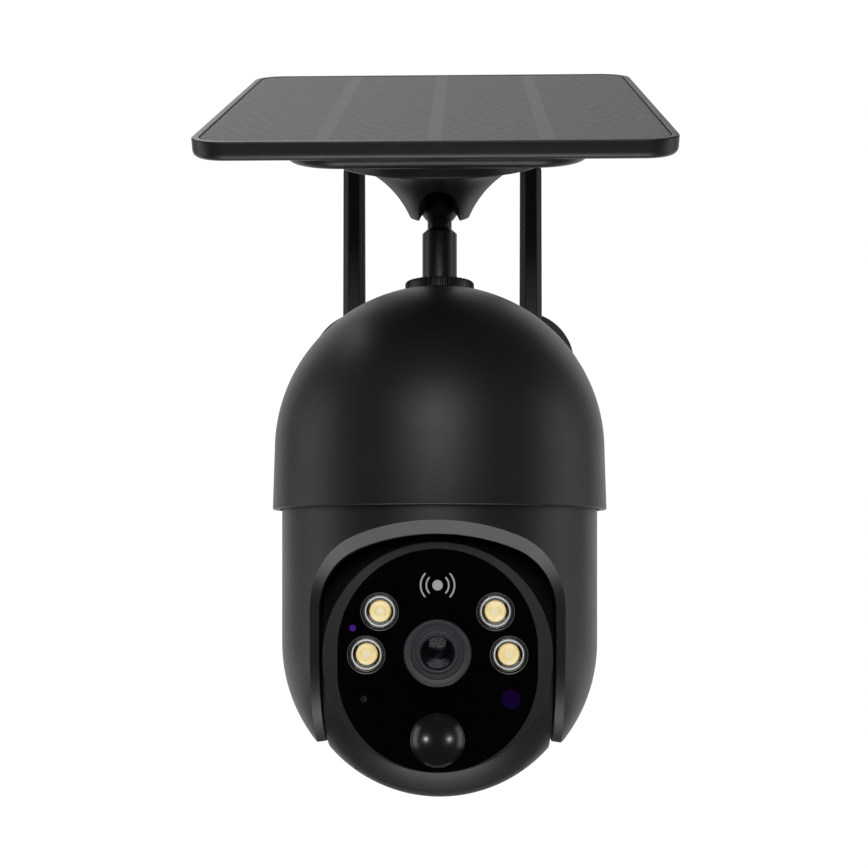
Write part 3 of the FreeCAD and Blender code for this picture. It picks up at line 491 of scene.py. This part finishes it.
def dome_profile():
    """Out and up the skirt, over the sphere to the recess, and back down the inside."""
    top = math.degrees(math.acos(RECESS_R / DOME_R))
    inner_r = DOME_R - WALL
    boss_r = BORE_R + 4
    inner_top = math.degrees(math.acos(boss_r / inner_r))
    skirt = softened([(RIM_R - WALL, RIM_Z + 4), (RIM_R - WALL, RIM_Z, 0.3), (RIM_R, RIM_Z, 0.45),
                      (DOME_R + 0.01, DOME_Z)])
    cap = arc((0, DOME_Z), DOME_R, 0, top, 60)
    edge = (RECESS_R, DOME_Z + math.sqrt(DOME_R ** 2 - RECESS_R ** 2))
    lip = softened([cap[-2], (*edge, 0.35), (RECESS_R, RECESS_Z, 0.2), (BORE_R, RECESS_Z),
                    (BORE_R, RECESS_Z - 8), (boss_r, RECESS_Z - 8)])
    inside = arc((0, DOME_Z), inner_r, inner_top, 0, 40)
    return np.vstack([skirt, cap[:-2], lip, inside])


dome = skin("dome", lathe(dome_profile(), 192) * MM + pan_axis, wrap_rows=True)
finish_piece(dome, housing_black, "housing", "dome_shell")

# %% [markdown]
# ## The arm, its ball and the lock nut
# The stem is a turned bar that narrows to a neck under the ball.  The nut is the same kind of turned
# ring, but its outer radius also rises and falls with the angle, which makes the finger ribs.

# %% Arm and nut
STEM_R, NECK_R, BALL_R = 6.23, 4.35, 7.0
stem_low, stem_shoulder, neck_start = 37.5, 76.4, 78.2
ball_z = ball_centre[2] / MM
ball_start = -math.degrees(math.acos(NECK_R / BALL_R))
stem_outline = softened([(0, stem_low), (STEM_R, stem_low, 0.6), (STEM_R, stem_shoulder, 0.25),
                         (NECK_R, neck_start, 0.3),
                         (NECK_R, ball_z + BALL_R * math.sin(math.radians(ball_start)))])
ball_outline = arc((0, ball_z), BALL_R, ball_start, 90, 40)
stem = skin("arm_and_ball", lathe(np.vstack([stem_outline, ball_outline[1:]]), 96) * MM + pan_axis)
finish_piece(stem, arm_black, "arm", "arm_stem")

NUT_R, NUT_LOW, NUT_TOP, RIBS, RIB_DEEP = 12.4, 54.75, 59.1, 44, 0.6


def ribbed_nut():
    """A ring whose outer radius is NUT_R less RIB_DEEP times a flat-topped wave of the angle."""
    outline = softened([(STEM_R + 0.1, NUT_LOW + 1), (STEM_R + 0.1, NUT_LOW), (NUT_R, NUT_LOW, 0.3),
                        (NUT_R, NUT_TOP, 0.9), (STEM_R + 0.1, NUT_TOP, 0.4), (STEM_R + 0.1, NUT_LOW + 1)])
    grid = lathe(outline[:-1], RIBS * 10)
    angle = np.arctan2(grid[0, :, 1], grid[0, :, 0])
    wave = np.clip(0.5 - 0.9 * np.cos(RIBS * angle), 0, 1)
    outward = np.clip((outline[:-1, 0] - 10.6) / 1.0, 0, 1)
    shrink = 1 - outward[:, None] * wave * RIB_DEEP / NUT_R
    grid[:, :, :2] *= shrink[:, :, None]
    return grid


nut = skin("lock_nut_ribbed", ribbed_nut() * MM + pan_axis, wrap_rows=True)
finish_piece(nut, nut_black, "nut", "lock_nut")

# %% [markdown]
# ## The antennas
# Each antenna is a tapered blade with planed corners, so its section is an eight-sided outline that
# shrinks a little towards the tip and closes there with a rounded end.  A round shoulder at its foot
# sits on the hinge pin.

# %% Antennas
BLADE_BASE, BLADE_TIP, BLADE_THICK, BLADE_LONG = 9.2, 8.6, 7.0, 127.0
PLANED, TIP_ROUND = 2.2, 4.0


def blade_grid():
    """Eight corners for each height; near the tip the section shrinks along a quarter ellipse."""
    straight = np.linspace(0, BLADE_LONG - TIP_ROUND, 12)
    turn = np.radians(np.linspace(8, 90, 9))
    height = np.concatenate([straight, BLADE_LONG - TIP_ROUND + TIP_ROUND * np.sin(turn)])
    share = height / BLADE_LONG
    half_w = (BLADE_BASE * (1 - share) + BLADE_TIP * share) / 2
    round_off = np.maximum(np.concatenate([np.ones_like(straight), np.cos(turn)]), 0.02)
    half_w, half_t = half_w * round_off, BLADE_THICK / 2 * round_off
    cut_w = PLANED * round_off
    cut_t = PLANED * 0.8 * round_off
    x = np.stack([half_w, half_w, half_w - cut_w, cut_w - half_w, -half_w, -half_w,
                  cut_w - half_w, half_w - cut_w], axis=1)
    y = np.stack([cut_t - half_t, half_t - cut_t, half_t, half_t, half_t - cut_t,
                  cut_t - half_t, -half_t, -half_t], axis=1)
    return np.stack([x, y, np.repeat(height[:, None], 8, axis=1)], axis=2)


shoulder_profile = softened([(2.1, -3.5), (5.2, -3.5, 0.5), (5.2, 3.5, 0.5), (2.1, 3.5)])
for side in ("left", "right"):
    pivot = joint_place(f"antenna_{side}_fold")
    blade = skin(f"antenna_{side}_blade", blade_grid() * MM + pivot, caps=True, sharp=20)
    soft = blade.modifiers.new("planed edges", "BEVEL")
    soft.width, soft.segments, soft.limit_method = 0.25 * MM, 2, "ANGLE"
    shoulder = skin(f"antenna_{side}_shoulder",
                    facing_front(lathe(shoulder_profile, 64)) * MM + pivot, wrap_rows=True)
    finish_piece(blade, antenna_black, f"antenna_{side[0]}", f"antenna_{side}")
    finish_piece(shoulder, antenna_black, f"antenna_{side[0]}", f"antenna_{side}")

# %% [markdown]
# ## The panel's frame, back and laminate
# The frame is a shallow tray.  It is a stack of rounded rectangles: each row has an inset from the
# outer edge and a height, and the corner radius shrinks with the inset.  The underside edge turns on
# a large curve and the upper rim on a small one.  The back plate is a smaller stack of the same kind.

# %% Panel frame
PANEL_W, PANEL_L, PANEL_CORNER, PANEL_LOW, PANEL_TOP = 147.4, 155.3, 11.0, 29.6, 35.4
RIM, TRAY_DEEP, FILM_GAP = 2.3, 1.9, 0.4
BACK_W, BACK_L, BACK_CORNER, BACK_LOW = 101.0, 96.0, 19.0, 21.4


def rounded_rectangle(width, length, corner, inset, steps=12):
    """One loop: four quarter circles, whose centres stay put while the radius shrinks."""
    radius = max(corner - inset, 0.6)
    across, along = width / 2 - inset - radius, length / 2 - inset - radius
    quarter = np.radians(np.linspace(0, 90, steps))
    loops = []
    for turn, (x, y) in enumerate(((across, along), (-across, along), (-across, -along), (across, -along))):
        angle = quarter + turn * math.pi / 2
        loops.append(np.column_stack([x + radius * np.cos(angle), y + radius * np.sin(angle)]))
    return np.vstack(loops)


def stacked(rows, width=PANEL_W, length=PANEL_L, corner=PANEL_CORNER):
    """Stack rounded rectangles given as (inset, height)."""
    loops = [rounded_rectangle(width, length, corner, inset) for inset, height in rows]
    heights = [np.full((len(loop), 1), height) for loop, (inset, height) in zip(loops, rows)]
    return np.stack([np.hstack(pair) for pair in zip(loops, heights)])


frame_rows = softened([(12, PANEL_LOW), (0, PANEL_LOW, 2.2), (0, PANEL_TOP, 0.5),
                       (RIM, PANEL_TOP, 0.25), (RIM, PANEL_TOP - TRAY_DEEP, 0.1),
                       (12, PANEL_TOP - TRAY_DEEP)], 8)
panel_frame = skin("panel_tray", on_panel(stacked(frame_rows)), caps=True)
finish_piece(panel_frame, panel_black, "panel", "panel_frame")

back_high = PANEL_LOW + 0.02
back_rows = softened([(14, BACK_LOW), (0, BACK_LOW, 3.2), (0, back_high), (14, back_high)], 10)
back_plate = skin("back_plate", on_panel(stacked(back_rows, BACK_W, BACK_L, BACK_CORNER)), caps=True)
finish_piece(back_plate, panel_black, "panel", "panel_back")

film_inset = RIM + FILM_GAP
film_low = PANEL_TOP - TRAY_DEEP + 0.3
film_rows = softened([(film_inset + 4, film_low), (film_inset, film_low, 0.1),
                      (film_inset, PANEL_TOP - 0.15, 0.2), (film_inset + 4, PANEL_TOP - 0.15)], 5)
film = skin("solar_film", on_panel(stacked(film_rows)), caps=True)


def lay_flat_map(piece):
    """Give a panel piece a UV map that holds its own x and y in millimetres."""
    count = len(piece.data.vertices)
    spots = np.empty(count * 3)
    piece.data.vertices.foreach_get("co", spots)
    x, y, z = (spots.reshape(-1, 3) - ball_centre).T / MM
    flat = np.column_stack([x, y * math.cos(pitch) + z * math.sin(pitch)])
    corners = np.empty(len(piece.data.loops), int)
    piece.data.loops.foreach_get("vertex_index", corners)
    layer = piece.data.uv_layers.new(name="flat")
    layer.data.foreach_set("uv", flat[corners].ravel())


lay_flat_map(film)
finish_piece(film, laminate, "panel", "panel_glass")

# %% [markdown]
# ## The ball socket
# The socket is a flange and a flare round the ball, open at the front, where the arm swings out.  It is
# a grid again: columns go round it, and each column walks the same profile.  A column near the front
# starts its walk higher up, where the profile first leaves the notch, so the notch's edge is smooth.

# %% Ball socket
NOTCH_HALF, NOTCH_CENTRE, CUP_R, LIP_Z = 7.2, 1.6, 8.25, -3.6
FLANGE_R, FLANGE_LOW, FLARE_TOP_R, FLARE_R, LIP_R = 38.0, 16.3, 32.0, 36.8, 10.8


def flare_profile(count=70):
    """From the lip up the concave flare to the flange's edge, as (radius, height)."""
    low, high = np.array([LIP_R, LIP_Z]), np.array([FLARE_TOP_R, FLANGE_LOW])
    middle, chord = (low + high) / 2, high - low
    right = np.array([chord[1], -chord[0]]) / np.linalg.norm(chord)
    centre = middle + right * math.sqrt(FLARE_R ** 2 - (chord @ chord) / 4)
    first, last = (math.degrees(math.atan2(*(spot - centre)[::-1])) % 360 for spot in (low, high))
    flare = arc(centre, FLARE_R, first, last, count)
    edge = softened([(FLARE_TOP_R, FLANGE_LOW), (FLANGE_R, FLANGE_LOW, 0.9),
                     (FLANGE_R, BACK_LOW + 0.02)], 6)
    return np.vstack([flare, edge[1:]])


def beyond_notch(profile, azimuth):
    """How far along the profile a column leaves the notch, and the length at each of its points."""
    across = np.abs(profile[:, 0] * math.sin(azimuth))
    arch = NOTCH_CENTRE + np.sqrt(np.clip(NOTCH_HALF ** 2 - across ** 2, 0, None))
    inside = (across < NOTCH_HALF) & (profile[:, 1] < arch) & (math.cos(azimuth) > 0)
    steps = np.concatenate([[0], np.cumsum(np.linalg.norm(np.diff(profile, axis=0), axis=1))])
    if not inside[0]:
        return 0.0, steps
    gap = np.maximum(across - NOTCH_HALF, profile[:, 1] - arch)
    last = np.flatnonzero(inside)[-1]
    if last + 1 >= len(profile):
        return steps[-1], steps
    share = -gap[last] / (gap[last + 1] - gap[last])
    return steps[last] + share * (steps[last + 1] - steps[last]), steps


def socket_grid(columns=360, rows=60, inner_rows=24):
    """Outside walk, then back down a wall set in from it to the cup that holds the ball."""
    outer = flare_profile()
    cup = arc((0, 0), CUP_R, 89.0, math.degrees(math.asin(LIP_Z / CUP_R)), 40)
    grid = []
    for azimuth in np.linspace(-math.pi, math.pi, columns, endpoint=False):
        walks = []
        for profile, count in ((outer, rows), (cup[::-1], inner_rows)):
            start, steps = beyond_notch(profile, azimuth)
            start = min(start, steps[-1] * 0.985)
            spread = start + (steps[-1] - start) * np.linspace(0, 1, count)
            walks.append(np.column_stack([np.interp(spread, steps, profile[:, i]) for i in (0, 1)]))
        walk = np.vstack([walks[1][::-1], walks[0], [[0.05, BACK_LOW + 0.02]]])
        grid.append(np.column_stack([walk[:, 0] * math.sin(azimuth), -walk[:, 0] * math.cos(azimuth),
                                     walk[:, 1]]))
    return np.transpose(np.array(grid), (1, 0, 2))


socket = skin("socket_flare", on_panel(socket_grid()), caps=True, sharp=40)
finish_piece(socket, panel_black, "panel", "ball_socket")

# %% [markdown]
# ## The camera lens
# Round the lens lies a broad satin ring with fine steps that lead down to the glass.  Behind the front
# glass stands a dark barrel with smaller rings, and a second small glass deep inside.  They are turned
# about an axis that points out of the face; height 0 is the face's plane.

# %% Lens
LENS_Z = 1.5


def on_face(x, z, out=0.0):
    """A spot on the face's plane, given in millimetres from the tilt axis and out of the plane."""
    return tilt_centre * (1, 0, 1) + (x * MM, face_y - out * MM, z * MM)


def front_turned(name, outline, spot, material, nodes=(), turns=96, closed=True):
    """Turn an outline of (radius, height out of the face) about an axis through a spot on the face."""
    grid = facing_front(lathe(softened(outline, 4), turns)) * MM + spot
    return finish_piece(skin(name, grid, wrap_rows=closed), material, "head", *nodes)


lens_spot = on_face(0, LENS_Z)
front_turned("lens_collar", [(8.6, -2.8), (11.3, -2.8), (11.3, 0.6, 0.25), (10.9, 1.0, 0.2),
                             (8.9, 0.85, 0.1), (8.6, 0.15), (8.2, 0.15, 0.1), (8.0, -0.4),
                             (7.5, -0.4, 0.1), (7.3, -0.9), (6.8, -0.9, 0.1), (6.65, -0.4),
                             (6.0, -0.4, 0.15), (5.5, -1.4), (5.4, -2.0), (8.6, -2.2)],
             lens_spot, lens_satin, nodes=("lens_ring",), turns=128)
front_turned("lens_tube", [(5.39, -2.2), (8.4, -2.85), (8.4, -16), (2.0, -16), (2.4, -7.0), (3.2, -6.8),
                           (3.4, -5.4), (4.2, -5.2), (4.4, -3.9), (5.2, -3.8)],
             lens_spot, lens_dark, nodes=("lens_barrel",))
glass_rows = [(0, -2.9), (5.35, -2.9, 0.1), (5.35, -1.98)]
bulge = arc((0, -27.42), 26.0, 78.13, 90, 12)
front_glass_profile = np.vstack([softened(glass_rows), bulge])
front_glass = skin("front_glass", facing_front(lathe(front_glass_profile, 96)) * MM + lens_spot)
finish_piece(front_glass, camera_glass, "head", "lens_glass")
front_turned("inner_glass", [(0, -6.4), (2.3, -6.4, 0.1), (2.3, -5.9), (0, -5.2)], lens_spot,
             camera_glass, turns=48, closed=False)

# %% [markdown]
# ## The lamps
# Each white lamp has a clear moulded lens in a black collar with a light grey edge, which is a painted
# highlight, a white ring and a yellow phosphor cup; ring and phosphor glow faintly, a painted glow.
# The four are the same shapes at four spots, mirrored left and right.

# %% Lamps
LAMPS = [(side * x, z) for side in (-1, 1) for x, z in ((19.3, 15.3), (23.8, 0.9))]


def phosphor():
    """Yellow core whose brightness rises and falls with the distance from the nearest lamp's axis, and
    whose faint glow is painted.
    """
    finish = Finish("phosphor", Roughness=0.35)
    place = finish.node("ShaderNodeSeparateXYZ", None, {"Vector": finish.coordinate()})
    x = (place - tilt_centre[0]).absolute()
    z = Wire(finish, place.socket.node.outputs[2]) - tilt_centre[2]
    nearest = None
    for lamp_x, lamp_z in LAMPS[2:]:
        dx, dz = x - lamp_x * MM, z - lamp_z * MM
        away = (dx * dx + dz * dz).math("SQRT") / MM
        nearest = away if nearest is None else nearest.math("MINIMUM", away)
    rings = (nearest * 2.6).sine() * 0.20 + 0.5
    swirl = finish.noise(1 / (1.1 * MM), 2.0)
    share = (rings + swirl * 0.7 - 0.25).step(0.0, 1.0)
    tint = finish.blend(share, (0.82, 0.58, 0.16, 1.0), (1.0, 0.94, 0.70, 1.0))
    rim = nearest.step(2.6, 3.4)
    shade = finish.blend(rim, tint, (0.90, 0.64, 0.20, 1.0))
    finish.set("Base Color", shade)
    # The emission is a painted glow that brightens the yellow; the lamp itself is not lit.
    finish.set("Emission Color", shade)
    finish.set("Emission Strength", 0.45)
    return finish.material


phosphor_yellow_painted_glow = phosphor()
CORE = [(0, -3.3), (3.4, -3.3), (3.4, -1.0, 0.15), (3.1, -0.9, 0.15), (2.5, -1.7, 0.3), (1.6, -1.9, 0.3),
        (1.1, -1.3, 0.2), (0, -1.2)]
BRIGHT = [(4.55, -2.8), (4.95, -2.8), (4.95, -0.55, 0.1), (4.75, -0.4, 0.1), (4.55, -0.6, 0.1)]
COLLAR = [(5.05, -2.8), (6.15, -2.8), (6.15, 0.40, 0.12), (5.95, 0.40, 0.1), (5.75, 0.1, 0.1), (5.05, -0.7)]
EDGE = [(6.17, -0.6), (6.4, -0.6), (6.4, 0.35, 0.05), (6.3, 0.45, 0.05), (6.17, 0.4)]
WELL = [(0, -3.9), (5.1, -3.9), (5.1, -3.3), (0, -3.3)]
for index, (lamp_x, lamp_z) in enumerate(LAMPS):
    spot = on_face(lamp_x, lamp_z)
    front_turned(f"lamp_core_{index}", CORE, spot, phosphor_yellow_painted_glow, nodes=("led_chips",), turns=48,
                 closed=False)
    # The ring's faint glow is painted.
    front_turned(f"lamp_ring_{index}", BRIGHT, spot, reflector_white_painted_glow, nodes=("led_reflectors",), turns=64)
    front_turned(f"lamp_collar_{index}", COLLAR, spot, lamp_collar, turns=64)
    # The edge ring's light grey is a painted highlight.
    front_turned(f"lamp_edge_painted_highlight_{index}", EDGE, spot, lamp_edge_painted_highlight, turns=64)
    front_turned(f"lamp_well_{index}", WELL, spot, lens_dark, turns=48, closed=False)
    lens_profile = softened([(0, -0.1), (5.6, -0.1, 0.05), (5.6, 0.15, 0.1), (5.0, 0.3), (0, 0.34)])
    lamp_lens = skin(f"lamp_lens_{index}", facing_front(lathe(lens_profile, 64)) * MM + spot)
    finish_piece(lamp_lens, lamp_clear, "head", "led_lenses")

# %% [markdown]
# ## The motion sensor, windows and printed sign
# The motion sensor hides behind a smoked dome that stands out of the face.  Small round windows cover
# the light sensor and the status lamp, and a ring marks the microphone hole.  The printed sign is a
# plain signal symbol: a dot between two pairs of arcs, a few hundredths of a millimetre thick.

# %% Sensor dome and windows
SENSOR_Z, SIGN_Z, MIC_X, MIC_Z = -27.6, 24.1, -24.6, -13.9
sensor_spot = on_face(0, SENSOR_Z)
sensor_profile = np.vstack([softened([(0, -1.6), (9.1, -1.6), (9.1, 0.0, 0.1), (8.75, 0.25)]),
                            arc((0, -6.55), 11.1, 37.9, 90, 36)])
sensor_dome = skin("motion_dome", facing_front(lathe(sensor_profile, 128)) * MM + sensor_spot)
finish_piece(sensor_dome, smoked, "head", "pir_lens")

STROKE, PRINT_THICK = 0.55, 0.04
sign_spot = on_face(0, SIGN_Z, PRINT_THICK)


def printed_arc(name, radius, half_angle, side):
    """A curved strip: the radius runs over the stroke and the angle over the arc, with round ends."""
    angle = np.radians(np.linspace(-half_angle, half_angle, 25))
    end = np.clip((half_angle - np.abs(np.degrees(angle))) / 6.0, 0.15, 1.0)
    width = STROKE / 2 * np.sqrt(1 - (1 - end) ** 2)
    section = np.array([[-1, 0], [1, 0], [1, 1], [-1, 1]], float)
    reach = radius + section[:, 0] * width[:, None]
    depth = np.broadcast_to(section[:, 1] * -PRINT_THICK, reach.shape)
    grid = np.stack([side * reach * np.cos(angle[:, None]), depth, reach * np.sin(angle[:, None])], axis=2)
    piece = skin(name, grid * MM + sign_spot, caps=True)
    return finish_piece(piece, print_grey, "head")


for side, word in ((-1, "left"), (1, "right")):
    printed_arc(f"sign_inner_{word}", 3.75, 46, side)
    printed_arc(f"sign_outer_{word}", 5.65, 45, side)
front_turned("sign_dot", [(0, 0), (1.75, 0), (1.75, PRINT_THICK), (0, PRINT_THICK)], sign_spot,
             print_grey, turns=48, closed=False)
front_turned("mic_ring", [(0.85, -0.8), (1.15, -0.8), (1.15, 0.05), (0.9, 0.05)],
             on_face(MIC_X, MIC_Z), lens_dark, turns=32)

# %% [markdown]
# ## The studio
# A glowing white sheet stands behind the object and curves forward into a floor that ends before it,
# so it draws thin bright edges on the black mouldings and little else.  One broad lamp in front makes
# the soft sheen down the dome's middle.  Two side lamps shape the rims, one lamp straight below lights
# the underside of the head and one further forward the panel's front edge.  Two small lamps light
# only the sensor dome, which the front and lower lamps spare, so that it shows its two highlights.  The
# room beyond the sheet gives little light, but looks white to the camera from every side.

# %% Studio
FRONT_GLOW, LOW_GLOW, EDGE_GLOW, SIDE_GLOW, SENSOR_GLOW = 3.9, 3.0, 2.0, 1.2, 26.0
ROOF_GLOW, ROOM_GLOW = 3.0, 0.06


def stage_sheet():
    """A floor that bends up into a backdrop: height rises on a quarter circle behind the object."""
    bend, near, low, high, half = 0.5, 0.35, -0.34, 1.5, 1.5
    turn = np.radians(np.linspace(0, 90, 17))
    y = np.concatenate([[near], 0.8 + bend * np.sin(turn), [0.8 + bend]])
    z = np.concatenate([[low], low + bend * (1 - np.cos(turn)), [high]])
    x = np.linspace(-half, half, 5)
    grid = np.stack(np.broadcast_arrays(x[None, :], y[:, None], z[:, None]), axis=2)
    mesh = bpy.data.meshes.new("studio_sheet")
    faces = grid_faces(len(y), len(x), False, False).tolist()
    mesh.from_pydata(grid.reshape(-1, 3).tolist(), [], faces)
    mesh.shade_smooth()
    return link("studio_sheet", mesh)


sheet = stage_sheet()
paper = Finish("studio_paper", Base_Color=grey(0.05), Roughness=0.9, Specular_IOR_Level=0.0)
paper.set("Emission Color", grey(1.0))
paper.set("Emission Strength", 1.0)
sheet.data.materials.append(paper.material)


def lit_group(name, state):
    """A light link that holds the sensor dome alone: INCLUDE lights only it, EXCLUDE spares it."""
    group = bpy.data.collections.new(name)
    group.objects.link(sensor_dome)
    group.collection_objects[0].light_linking.link_state = state
    return group


def soft_box(name, place, aim, width, height, glow, lights=None):
    """A rectangular lamp that faces a point; its power is glow x pi x area."""
    lamp = bpy.data.lights.new(name, "AREA")
    lamp.shape, lamp.size, lamp.size_y = "RECTANGLE", width, height
    lamp.energy = glow * math.pi * width * height
    holder = bpy.data.objects.new(name, lamp)
    holder.location = place
    holder.visible_camera = False
    holder.light_linking.receiver_collection = lights
    print(f"{name}: {lamp.energy:.2f} W")
    holder.rotation_euler = Vector(np.subtract(aim, place)).to_track_quat("-Z", "Y").to_euler()
    bpy.context.scene.collection.objects.link(holder)


middle = (0.0, pan_axis[1], 0.0)
sensor_only, spare_sensor = lit_group("sensor_only", "INCLUDE"), lit_group("all_but_sensor", "EXCLUDE")
soft_box("front_lamp", (-0.03, -1.35, 0.38), middle, 0.62, 0.78, FRONT_GLOW, spare_sensor)
soft_box("low_lamp", (0.0, -0.14, -0.62), (0, -0.12, 0), 0.5, 0.36, LOW_GLOW, spare_sensor)
soft_box("edge_lamp", (0.0, -0.5, -1.15), middle, 1.0, 0.7, EDGE_GLOW, spare_sensor)
for side in (-1, 1):
    soft_box(f"side_lamp_{side}", (side * 1.2, -0.05, 0.0), middle, 0.7, 1.2, SIDE_GLOW)
    soft_box(f"sensor_lamp_{side}", (side * 0.62, -0.82, -0.08), (0, -0.12, -0.10), 0.12, 0.12,
             SENSOR_GLOW, sensor_only)
soft_box("roof_lamp", (-0.35, 0.2, 1.3), middle, 1.0, 1.0, ROOF_GLOW)

world = bpy.data.worlds.new("room")
world.use_nodes = True
background = world.node_tree.nodes["Background"]
background.inputs["Color"].default_value = grey(1.0)
light_path = world.node_tree.nodes.new("ShaderNodeLightPath")
brightness = world.node_tree.nodes.new("ShaderNodeMapRange")
brightness.inputs["To Min"].default_value = ROOM_GLOW
world.node_tree.links.new(light_path.outputs["Is Camera Ray"], brightness.inputs["Value"])
world.node_tree.links.new(brightness.outputs["Result"], background.inputs["Strength"])
bpy.context.scene.world = world
bpy.context.scene.view_settings.view_transform = "Standard"

# %% Camera
EYE_DISTANCE, EYE_TURN, EYE_HEIGHT = 0.468, math.radians(1.14), -0.038
SENSOR, LENS = 36.0, 53.92
eye = bpy.data.cameras.new("eye")
eye.sensor_width, eye.lens = SENSOR, LENS
eye.shift_x, eye.shift_y = -0.0065, 0.1365
eye.clip_start, eye.clip_end = 0.01, 20
viewer = bpy.data.objects.new("eye", eye)
viewer.location = (EYE_DISTANCE * math.sin(EYE_TURN), pan_axis[1] - EYE_DISTANCE * math.cos(EYE_TURN),
                   EYE_HEIGHT)
viewer.rotation_euler = (math.radians(90), 0, EYE_TURN)
bpy.context.scene.collection.objects.link(viewer)
bpy.context.scene.camera = viewer
print("camera at", [round(value, 4) for value in viewer.location])
